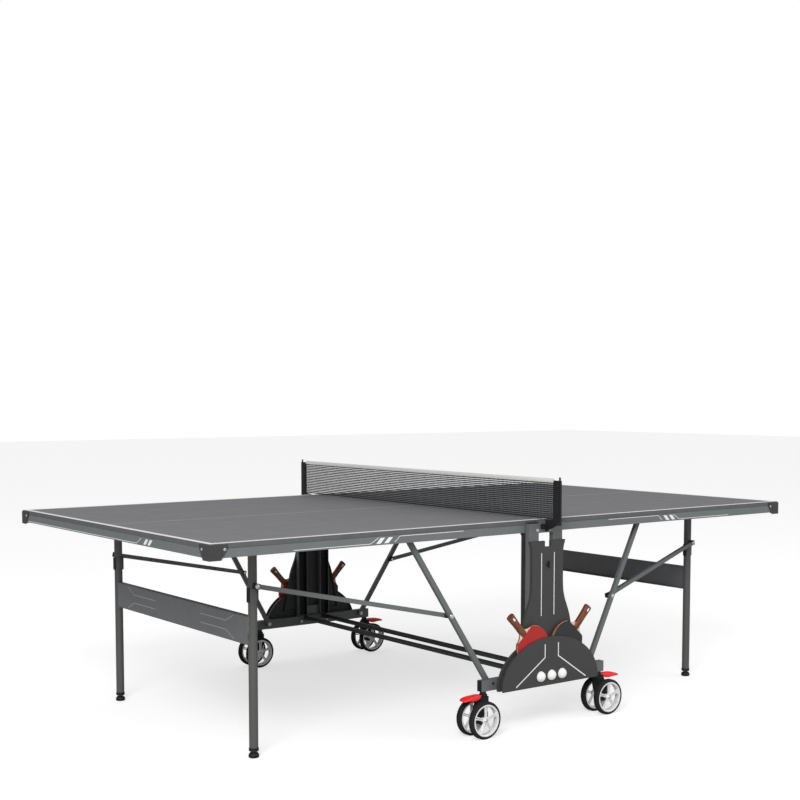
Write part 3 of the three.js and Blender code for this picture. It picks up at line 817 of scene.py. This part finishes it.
def frame_bolts(bm):
    """Strut foot bolts, and the heads that hold the cross bars and the tie plate."""
    for side in (-1, 1):
        strut_face = STRUT_THICKNESS / 2 + 1.4 - STRUT_FOOT[1]
        bolt(bm, (side * STRUT_FOOT[0], strut_face, STRUT_FOOT[2]), "+y", 6.5, 5.0)
        bolt(bm, (side * CROSS_BAR[0], -BEAM_INSIDE, CROSS_BAR[1]), "+y", 4.0, 3.0)
    for x, z in ((-41, 723), (18, 725)):
        bolt(bm, (x, -FRAME_FACE, z), "-y", 3.6, 3.0)


def post_plate(bm):
    """The folded plate between the posts at the foot of the cover, on the table's side."""
    half, face, thick = POST_X - POST_HALF, 2 - FRAME_FACE, 3
    low = BEAM["bottom"] + BEAM["height"] + 0.5
    box(bm, -half, half, face, face + thick, low + 0.2, 246)
    box(bm, -half, half, face, face + 16.5, low, low + thick)


def post_shade_liners(bm):
    """Black sheets inside the two channel posts, where the slides run: painted shade that darkens the
    channels' insides.
    """
    front, back = -FRAME_FACE + 2.4, -FRAME_FACE + 19.4
    half, thick = 21.1, 0.6
    low, high = BEAM["bottom"] + BEAM["height"] + 3.5, 748.0
    for side in (-1, 1):
        x = side * POST_X
        box(bm, x - half, x + half, front, front + thick, low, high)
        box(bm, x - half, x - half + thick, front + thick - 0.1, back, low, high)
        box(bm, x + half - thick, x + half, front + thick - 0.1, back, low, high)


def tie_latch(bm):
    """The black catch on the tie plate."""
    left, right, low, high = -27, -10, 727, 745
    face = -FRAME_FACE
    box(bm, left, right, face - 7, face + 1, low, high)
    box(bm, left + 3, right - 3, face - 10, face - 6, low + 3.5, high - 3.5)


def cover_half_width(z):
    """Half width of the post cover at a height, through named stations."""
    stations = [
        (228, 146), (300, 132), (350, 122), (385, 115), (410, 108.5), (445, 95), (463, 87.5), (490, 80),
        (520, 77), (580, 76.4), (645, 77), (665, 80.5), (684, 87),
    ]
    for (z0, w0), (z1, w1) in zip(stations, stations[1:]):
        if z <= z1:
            i = stations.index((z0, w0))
            before = stations[max(i - 1, 0)]
            after = stations[min(i + 2, len(stations) - 1)]
            slope0 = (w1 - before[1]) / (z1 - before[0])
            slope1 = (after[1] - w0) / (after[0] - z0)
            t = (z - z0) / (z1 - z0)
            span = z1 - z0
            return (
                (2 * t**3 - 3 * t**2 + 1) * w0 + (t**3 - 2 * t**2 + t) * span * slope0
                + (3 * t**2 - 2 * t**3) * w1 + (t**3 - t**2) * span * slope1
            )
    return stations[-1][1]


def cover_outline(inset=0.0):
    half, notch = COVER_NOTCH
    bottom, top = COVER["bottom"] + inset, COVER["top"] - inset
    steps = 56
    right = []
    for i in range(steps + 1):
        z = bottom + (top - bottom) * i / steps
        right.append((cover_half_width(z) - inset, z))
    right += [(half + inset, top), (half + inset, notch - inset)]
    return right + [(-x, z) for x, z in reversed(right)]


def post_cover(bm):
    front, back, wall = -COVER["front"], -COVER["back"], COVER["wall"]
    outer, inner = cover_outline(), cover_outline(wall)
    plate(bm, outer, front, front + wall)
    plate(bm, outer, front + wall - 0.2, back, "y", (inner,))
    for x in (-63, 63):
        for z in (260, 440, 620):
            rod(bm, (x, front + wall - 1, z), (x, back + 1, z), 5.0, 16)


def cover_lines(bm):
    """Two upright lines on the post cover."""
    front, apart, low, high = -COVER["front"], 31.5, 410, 640
    for x in (-apart, apart):
        line = stripe([(x, low), (x, high)], LINE_WIDTH["cover"])
        plate(bm, line, front - PAINT, front + PAINT_SINK)


def cover_latch(bm):
    """A small turn catch in the middle of the cover."""
    front, middle, grip = -COVER["front"], 598, 13
    lathe(bm, [(0, -5), (5.5, -5), (7.5, -3.5), (8, 0.5), (0, 0.5)], (0, front, middle), "y", 28)
    box(bm, -2.4, 2.4, front - 8, front - 4, middle - grip, middle + grip)


def pocket_arc(inset, low_angle=0.0, count=72):
    """Points on the pocket's half ellipse from right to left, above an angle."""
    reach, rise = POCKET["half"] - inset, POCKET_ARC[1] - inset
    points = []
    for i in range(count + 1):
        angle = low_angle + (math.pi - 2 * low_angle) * i / count
        points.append((reach * math.cos(angle), POCKET_ARC[0] + rise * math.sin(angle)))
    return points


def pocket_outline(inset=0.0):
    reach, bottom = POCKET["half"] - inset, POCKET["bottom"] + inset
    return [(-reach, bottom), (reach, bottom)] + pocket_arc(inset)


def pocket_rim(bm, low, high, open_half, set_back=0.0):
    """The pocket's edge wall between two planes, left open over the middle."""
    wall = POCKET["wall"]
    steps = 40
    mouth = math.acos(open_half / POCKET["half"])
    outer, inner = [], []
    for i in range(steps + 1):
        angle = mouth * (1 - i / steps)
        for ring, inset in ((outer, set_back), (inner, set_back + wall)):
            ring.append((
                (POCKET["half"] - inset) * math.cos(angle),
                POCKET_ARC[0] + (POCKET_ARC[1] - inset) * math.sin(angle),
            ))
    for ring, inset in ((outer, set_back), (inner, set_back + wall)):
        ring.append((POCKET["half"] - inset, POCKET["bottom"] + inset))
        ring.append((0.0, POCKET["bottom"] + inset))
    right = outer + inner[::-1]
    plate(bm, right, low, high)
    plate(bm, [(-x, z) for x, z in right], low, high)


def paddle_pocket(bm):
    """Two plates with a wall between them that stands back from their edges."""
    wall = POCKET["wall"]
    front, back, plate_y = -POCKET["front"], -POCKET["back"], -POCKET["plate"]
    windows = [circle(i * BALL["spacing"], BALL["z"], BALL["window"]) for i in (-1, 0, 1)]
    seats = [circle(i * BALL["spacing"], BALL["z"], BALL["seat"]) for i in (-1, 0, 1)]
    plate(bm, pocket_outline(), front, front + wall, "y", windows)
    plate(bm, pocket_outline(), plate_y - wall, plate_y, "y", seats)
    pocket_rim(bm, front + wall - 0.2, plate_y - wall + 0.2, PADDLE_MOUTH, POCKET["rim_inset"])
    pocket_rim(bm, plate_y - 0.2, back, COVER_MOUTH)
    reach = POCKET["half"] * math.sqrt(1 - ((POCKET_SHELF - POCKET_ARC[0]) / POCKET_ARC[1]) ** 2) - wall
    box(bm, -reach, reach, front + wall - 0.2, plate_y - wall + 0.2, POCKET_SHELF, POCKET_SHELF + wall)


def window_rims(bm):
    """A thin raised ring round each ball window."""
    front = -POCKET["front"]
    section = [(0.1, 0.3), (0.1, -0.9), (0.9, -1.3), (2.0, -0.9), (2.3, 0.3)]
    ring = [(BALL["window"] + out, height) for out, height in section]
    for i in (-1, 0, 1):
        lathe(bm, ring, (i * BALL["spacing"], front, BALL["z"]), "y", 56, 0, True)


def pocket_lines(bm):
    """One bent line down each side of the pocket."""
    front = -POCKET["front"]
    for side in (-1, 1):
        points = [(side * 33, 310), (side * 33, 261), (side * 173, 168)]
        plate(bm, stripe(points, LINE_WIDTH["pocket"]), front - PAINT, front + PAINT_SINK)


def ball_at(place):
    """A ball in one of the three windows, with its faint seam."""
    def shape(bm):
        steps, radius, seam_depth = 24, BALL["radius"], 0.06
        profile = []
        for i in range(steps + 1):
            angle = math.pi * i / steps - math.pi / 2
            out = radius * math.cos(angle) if 0 < i < steps else 0.0
            profile.append((out, radius * math.sin(angle)))
        profile[steps // 2] = (radius - seam_depth, 0.0)
        lathe(bm, profile, (place * BALL["spacing"], -BALL["y"], BALL["z"]), "z", 40)

    return shape


for side, y_sign in SIDES.items():
    signs = (1, y_sign)
    dress(f"{side}_side_frame", "frame_tube", 1.2)
    dress(f"{side}_net_post", "black_plastic", 0.7)
    for word, shape, finish, edge in (
        ("beam_plugs", beam_caps, "black_plastic", 0.8),
        ("frame_bolts", frame_bolts, "steel", 0.0),
        ("foot_plate", post_plate, "frame_tube", 0.6),
        # black sheets inside the channel posts, painted shade for the channels' dark insides
        ("post_shade_liners", post_shade_liners, "black_plastic", 0.0),
        ("tie_catch", tie_latch, "black_plastic", 1.0),
    ):
        build(f"{side}_{word}", "trolley", shape, [finish], signs, edge=edge)
    build(f"{side}_cover_shell", "trolley", post_cover, ["cover_plastic"], signs,
          (f"{side}_post_cover",), 0.9)
    build(f"{side}_cover_lines", "trolley", cover_lines, ["white_ink"], signs)
    build(f"{side}_cover_catch", "trolley", cover_latch, ["black_plastic"], signs, edge=0.8)
    build(f"{side}_pocket_shell", "trolley", paddle_pocket, ["cover_plastic"], signs,
          (f"{side}_paddle_pocket",), 0.8)
    build(f"{side}_window_rims", "trolley", window_rims, ["cover_plastic"], signs)
    build(f"{side}_pocket_lines", "trolley", pocket_lines, ["white_ink"], signs)
    for place, word in ((-1, "left"), (0, "middle"), (1, "right")):
        build(f"{side}_{word}_ball", "trolley", ball_at(place), ["ball"], signs, crease=60)
for end in ENDS:
    dress(f"{end}_cross_bar", "dark_bar", 0.0)


# ------------------------------------------------------------------ casters
def tyres(bm):
    """Two tyres with rounded shoulders, two grooves and notched tread blocks."""
    half = WHEEL["width"] / 2
    outer = WHEEL["radius"]
    groove = outer - 1.4
    one_side = [
        (WHEEL["rim"], -half + 1), (60.5, -half), (63.6, -half + 1), (65.8, -half + 2.8),
        (66.9, -half + 4.8), (outer, -half + 6.6), (outer, -4.2), (groove, -3.8), (groove, -2.6),
        (outer, -2.2),
    ]
    profile = one_side + [(radius, -height) for radius, height in one_side[::-1]]
    segments = 120
    for offset in (-WHEEL["offset"], WHEEL["offset"]):
        rings = []
        for i in range(segments):
            angle = 2 * math.pi * i / segments
            notch = 1.1 if i % 3 == 0 else 0.0
            ring = []
            for radius, height in profile:
                drop = notch if abs(height) > 4.5 and radius > 65 else 0.0
                ring.append((
                    WHEEL["x"] + (radius - drop) * math.cos(angle),
                    -CASTER_Y + offset + height,
                    WHEEL["radius"] + (radius - drop) * math.sin(angle),
                ))
            rings.append(ring)
        loft(bm, rings, 0, False, True)


def rims(bm):
    """Two dished rims, each a ring and hub joined by five pairs of spokes on its outer side."""
    for side in (-1, 1):
        centre = (WHEEL["x"], -CASTER_Y + side * WHEEL["offset"], WHEEL["radius"])
        ring = [
            (57.2, -11.2), (57.2, 11.2), (55.6, 12.0), (52.6, 11.8), (50.6, 10.2), (49.6, 6.0), (49.2, -2.0),
            (50.2, -9.8), (52.6, -11.8), (55.6, -12.0),
        ]
        lathe(bm, [(r, side * h) for r, h in ring], centre, "y", 72, 0, True)
        hub = [
            (0, -12.0), (8.5, -12.0), (9.6, -11.2), (9.6, 2.0), (13.5, 3.4), (14.2, 6.8), (12.6, 9.2),
            (8.4, 10.0), (7.6, 8.4), (0, 8.4),
        ]
        lathe(bm, [(r, side * h) for r, h in hub], centre, "y", 40)
        for spoke in range(5):
            turn = math.radians(90 + 72 * spoke)
            for half in (-1, 1):
                rings = []
                for radius, gap, wide, face, deep in (
                    (10.0, 0.6, 3.4, 7.6, 6.0), (22.0, 0.8, 3.6, 8.4, 5.4), (36.0, 1.0, 4.2, 8.2, 5.2),
                    (46.0, 1.3, 5.2, 8.8, 5.8), (51.8, 1.7, 6.8, 10.4, 7.4),
                ):
                    middle = half * (gap + wide / 2)
                    corners = [
                        (middle - wide / 2, face - deep), (middle + wide / 2, face - deep),
                        (middle + wide / 2, face - 0.8), (middle + wide / 2 - 0.8, face),
                        (middle - wide / 2 + 0.8, face), (middle - wide / 2, face - 0.8),
                    ]
                    rings.append([
                        (
                            centre[0] + radius * math.cos(turn) - across * math.sin(turn),
                            centre[1] + side * out,
                            centre[2] + radius * math.sin(turn) + across * math.cos(turn),
                        )
                        for across, out in corners
                    ])
                loft(bm, rings)


def axle_bolts(bm):
    """The nuts at the ends of the axle, and the axle between the wheels."""
    for side in (-1, 1):
        spot = (WHEEL["x"], -CASTER_Y + side * (WHEEL["offset"] + 8.2), WHEEL["radius"])
        hex_nut(bm, spot, outward(side), 9.0, 3.6)
    ends = [(WHEEL["x"], -CASTER_Y + reach, WHEEL["radius"]) for reach in (-23, 23)]
    rod(bm, *ends, 5.4)


def swivel_race(bm):
    """The pressed ball race between the fork and the beam."""
    profile = [
        (0, 146.2), (13.5, 146.2), (15.5, 148.5), (15.5, 151.5), (13.5, 153.6), (11.5, 154.4),
        (11.5, 162.8), (0, 162.8),
    ]
    lathe(bm, profile, (CASTER_STEM_X, -CASTER_Y, 0), "z", 40)


def rounded_ring(half_y, low, high, corner, steps=4):
    """A rounded rectangle in (y, z)."""
    middle = (low + high) / 2
    half_z = (high - low) / 2
    corner = min(corner, half_z, half_y)
    points = []
    for quarter, (sy, sz) in enumerate(((1, 1), (-1, 1), (-1, -1), (1, -1))):
        for i in range(steps + 1):
            angle = math.pi / 2 * (quarter + i / steps)
            points.append((
                sy * (half_y - corner) + corner * math.cos(angle),
                middle + sz * (half_z - corner) + corner * math.sin(angle),
            ))
    return points


def brake_lever(bm):
    """A ribbed pedal, thick between the wheels and thinner and wider towards its tip."""
    stations = [
        (300.5, 9.0, 149.0, 152.2), (304.0, 11.5, 145.6, 153.0), (311.0, 13.5, 139.5, 153.4),
        (322.0, 14.5, 135.6, 153.6), (335.0, 16.0, 134.8, 152.6), (350.0, 18.2, 137.2, 151.2),
        (364.0, 18.9, 138.2, 149.2), (375.0, 18.4, 138.0, 146.4), (382.0, 15.5, 137.4, 143.4),
        (385.3, 9.0, 138.4, 141.0),
    ]
    rings = []
    for x, half, low, high in stations:
        rings.append([(x, -CASTER_Y + y, z) for y, z in rounded_ring(half, low, high, 2.6)])
    loft(bm, rings)
    for x, z in ((346, 151.2), (355, 150.0), (364, 148.6), (373, 146.4)):
        rod(bm, (x, -CASTER_Y - 13.5, z), (x, -CASTER_Y + 13.5, z), 1.2, 10)


for side, y_sign in SIDES.items():
    for end, x_sign in ENDS.items():
        corner, signs = f"{side}_{end}", (x_sign, y_sign)
        dress(f"{corner}_caster_fork", "black_plastic", 1.2)
        build(f"{corner}_swivel_race", f"{corner}_caster", swivel_race, ["dark_steel"], signs)
        build(f"{corner}_tyres", f"{corner}_wheels", tyres, ["tyre"], signs,
              (f"{corner}_wheel_pair",), crease=40)
        build(f"{corner}_rims", f"{corner}_wheels", rims, ["rim"], signs)
        build(f"{corner}_axle_bolts", f"{corner}_wheels", axle_bolts, ["steel"], signs)
        build(f"{corner}_brake_pedal", f"{corner}_brake", brake_lever, ["brake_red"], signs,
              (f"{corner}_brake_lever",))


# ------------------------------------------------------------------ paddles
def lean(u, v, w):
    """From the paddle's own width, thickness and length to the table's frame."""
    tilt = PADDLE["tilt"]
    return (
        PADDLE["x"] + u * math.cos(tilt) + w * math.sin(tilt),
        -PADDLE["y"] + v,
        PADDLE["z"] - u * math.sin(tilt) + w * math.cos(tilt),
    )


def blade_outline(radius, cut):
    """A round blade that ends straight across below the handle, as (width, length) points."""
    points = []
    for i in range(97):
        angle = math.radians(90 + 360 * i / 96)
        u, w = radius * math.cos(angle) * 0.985, radius * math.sin(angle)
        if w < cut:
            points.append((u, w))
    edge = math.sqrt(radius**2 - cut**2) * 0.985
    return [(-edge, cut), *points, (edge, cut)]


def sheet_of(bm, outline, v0, v1, edge=0.0):
    rings = []
    for v, inset in ((v0, edge), (v0 + edge, 0.0), (v1 - edge, 0.0), (v1, edge)):
        size = max(abs(u) for u, _ in outline)
        factor = 1 - inset / size
        rings.append([lean(u * factor, v, w * factor) for u, w in outline])
    loft(bm, rings)


def blade_core(bm):
    """The wooden blade, with low shoulders that run up into the handle."""
    neck = [(26.0, 68.0), (13.0, 78.0)]
    outline = [(-u, w) for u, w in neck[::-1]] + blade_outline(PADDLE["radius"], 58.0) + neck
    sheet_of(bm, outline, -3.1, 3.1, 0.5)


def rubber(outer):
    """The rubber sheet on the outer or the inner face of the blade."""
    def shape(bm):
        low, high = (-5.9, -3.1) if outer else (3.1, 5.9)
        sheet_of(bm, blade_outline(PADDLE["radius"] - 0.9, 61.0), low, high, 0.35)

    return shape


def handle(bm):
    """A flared handle with oval sections, tapered where it meets the blade."""
    stations = [
        (60.0, 11.0, 3.4), (64.0, 12.6, 7.0), (70.0, 13.4, 9.8), (82.0, 13.0, 10.9), (100.0, 12.4, 11.3),
        (120.0, 12.8, 11.4), (140.0, 14.0, 11.4), (154.0, 15.2, 11.4), (159.5, 15.4, 11.3),
        (161.4, 14.6, 10.6), (162.0, 13.2, 9.4),
    ]
    count = 36
    rings = []
    for w, half_u, half_v in stations:
        ring = []
        for i in range(count):
            angle = 2 * math.pi * i / count
            c, s = math.cos(angle), math.sin(angle)
            u = half_u * math.copysign(abs(c) ** 0.75, c)
            v = half_v * math.copysign(abs(s) ** 0.75, s)
            ring.append(lean(u, v, w))
        rings.append(ring)
    loft(bm, rings)


def handle_inlay(bm):
    """A plain oval inlay near the end of the handle, on both faces."""
    points, middle = 28, 146
    turns = [2 * math.pi * i / points for i in range(points)]
    outline = [(3.6 * math.cos(turn), middle + 7.5 * math.sin(turn)) for turn in turns]
    for face in (-1, 1):
        low, high = sorted((face * 10.9, face * 11.62))
        loft(bm, [[lean(u, v, w) for u, w in outline] for v in (low, high)])


for side, y_sign in SIDES.items():
    for end, x_sign in ENDS.items():
        corner, signs, body = f"{side}_{end}", (x_sign, y_sign), f"{side}_{end}_bat"
        red_out = x_sign * y_sign < 0
        out, back = ("red_rubber", "black_rubber") if red_out else ("black_rubber", "red_rubber")
        build(f"{corner}_paddle_blade", body, blade_core, [PLY[x_sign]], signs, (f"{corner}_paddle",))
        build(f"{corner}_paddle_outer_rubber", body, rubber(True), [out], signs, ())
        build(f"{corner}_paddle_inner_rubber", body, rubber(False), [back], signs, ())
        build(f"{corner}_paddle_handle", body, handle, [WOOD[x_sign]], signs)
        build(f"{corner}_paddle_inlay", body, handle_inlay, ["ball"], signs, crease=30)


# ------------------------------------------------------------------ net
def drape(x, y, z):
    """The slight sag and ripple of a net stretched between its posts."""
    rise = (z - NET["bottom"]) / (NET["top"] - NET["bottom"])
    middle = 1 - (y / NET["half"]) ** 2
    return (x + NET_WAVE * math.sin(y / NET_RIPPLE) * middle * rise, y, z - NET_SAG * middle * rise)


def net_sheet(bm):
    """Square netting of single threads, with a tape folded over its top and a hem at its foot."""
    half, pitch = NET["half"], NET["pitch"]
    tape_bottom = NET["top"] - NET["tape"]
    lowest = NET["bottom"] + 3.0
    rows = int((tape_bottom - lowest) / pitch)
    columns = int(2 * (half - 1) / pitch)
    steps = 24

    def square(y, z, thread, along):
        corners = [(-thread, -thread), (thread, -thread), (thread, thread), (-thread, thread)]
        if along == "y":
            return [(a * 0.6, y, z + b) for a, b in corners]
        return [(a, y + b, z) for a, b in corners]

    for row in range(rows + 1):
        z = lowest + row * pitch
        rings = []
        for i in range(steps + 1):
            y = -half + 0.5 + (2 * half - 1) * i / steps
            rings.append([drape(*p) for p in square(y, z, NET["weft"] / 2, "y")])
        loft(bm, rings)
    for column in range(columns + 1):
        y = -columns * pitch / 2 + column * pitch
        rings = []
        for i in range(5):
            z = lowest + (tape_bottom + 2 - lowest) * i / 4
            rings.append([drape(*p) for p in square(y, z, NET["warp"] / 2, "z")])
        loft(bm, rings)
    for low, high, wide, slot in ((tape_bottom, NET["top"], 1.3, 1), (NET["bottom"], lowest + 2.5, 1.2, 0)):
        rings = []
        for i in range(steps * 2 + 1):
            y = -half + 2 * half * i / (steps * 2)
            outline = [
                (-wide, low + 0.4), (-wide * 0.8, low), (wide * 0.8, low), (wide, low + 0.4),
                (wide, high - 1.2), (wide * 0.6, high - 0.3), (0, high), (-wide * 0.6, high - 0.3),
                (-wide, high - 1.2),
            ]
            rings.append([drape(x, y, z) for x, z in outline])
        loft(bm, rings, slot)


net = build(
    "net_sheet", "trolley", net_sheet, ["netting", "net_tape"], (1, 1), ("net",), crease=50,
)


def tape_stitches(bm):
    """Short stitches along the tape's lower edge, on both faces."""
    z = NET["top"] - NET["tape"] + 2.2
    count = 180
    for face in (-1, 1):
        for i in range(count):
            y = -NET["half"] + 6 + (2 * NET["half"] - 12) * (i + 0.5) / count
            start, end = drape(face * 1.35, y - 2.6, z), drape(face * 1.35, y + 2.6, z)
            rod(bm, start, end, 0.32, 5, 0.1)


build("net_tape_stitches", "trolley", tape_stitches, ["grey_ink"])


def net_post_fittings(bm):
    """A strip that grips the net's end, a tension knob and the clamp screw."""
    inner, outer, top = NET_POST["inner"], NET_POST["outer"], NET_POST["top"]
    grip_bottom, knob_top = 775, 752
    for face in (-1, 1):
        x0, x1 = sorted((face * 3.8, face * 5.2))
        box(bm, x0, x1, -outer + 3, -inner - 6, grip_bottom, top - 12)
    knob = [(0, -9), (8.5, -9), (9.5, -8), (9.5, -1), (8, 0.2), (0, 0.2)]
    lathe(bm, knob, (0, -outer + 9, knob_top), "z", 24)


def net_post_screws(bm):
    """Three screws in each grip strip."""
    screw_y, strip_face = -845.0, 5.1
    for face, facing in ((-1, "-x"), (1, "+x")):
        for z in (790, 840, 884):
            bolt(bm, (face * strip_face, screw_y, z), facing, 2.6, 2.0)


for side, y_sign in SIDES.items():
    build(f"{side}_net_grips", "trolley", net_post_fittings, ["black_plastic"], (1, y_sign), edge=0.5)
    build(f"{side}_net_post_screws", "trolley", net_post_screws, ["dark_steel"], (1, y_sign))


# ------------------------------------------------------------------ floor and light
def studio():
    """The pale floor, the white surroundings and two soft lamps."""
    size = 30.0
    mesh = bpy.data.meshes.new("floor")
    corners = [(-size, -size, 0), (size, -size, 0), (size, size, 0), (-size, size, 0)]
    mesh.from_pydata(corners, [], [(0, 1, 2, 3)])
    floor = bpy.data.objects.new("floor", mesh)
    bpy.context.scene.collection.objects.link(floor)
    n = Nodes("floor_paint")
    pale = rgb(205, 205, 205)
    tint = n.ramp(n.noise(0.8, 3.0), (0.3, shade(pale, 0.99)), (0.7, pale))
    gloss = n.spread(n.noise(3.0, 3.0), 0.8, 0.9)
    mesh.materials.append(n.finish(tint, gloss, n.bump(n.noise(60.0), 0.05, 0.0005)))
    n.surface.inputs["Specular IOR Level"].default_value = 0.1
    # Seen directly, the floor is lit up to near white, and it throws less light on the table's underside.
    seen = n.make("ShaderNodeLightPath").outputs["Is Camera Ray"]
    glow = n.maths("MULTIPLY", seen, FLOOR_GLOW)
    n.surface.inputs["Emission Color"].default_value = (1.0, 1.0, 1.0, 1.0)
    n.link(glow, n.surface.inputs["Emission Strength"])

    world = bpy.data.worlds.new("studio")
    world.use_nodes = True
    tree = world.node_tree
    background = tree.nodes["Background"]
    background.inputs["Color"].default_value = (1.0, 1.0, 1.0, 1.0)
    path = tree.nodes.new("ShaderNodeLightPath")
    level = tree.nodes.new("ShaderNodeMapRange")
    level.inputs["To Min"].default_value = WORLD_LIGHT
    level.inputs["To Max"].default_value = 1.0
    tree.links.new(path.outputs["Is Camera Ray"], level.inputs["Value"])
    tree.links.new(level.outputs["Result"], background.inputs["Strength"])
    bpy.context.scene.world = world
    bpy.context.scene.view_settings.view_transform = "Standard"

    for name, place, size, power in LAMPS:
        data = bpy.data.lights.new(name, "AREA")
        data.shape = "DISK"
        data.size = size
        data.energy = power
        light = bpy.data.objects.new(name, data)
        light.location = place
        light.rotation_euler = (Vector((0, 0, 0.5)) - Vector(place)).to_track_quat("-Z", "Y").to_euler()
        bpy.context.scene.collection.objects.link(light)


studio()
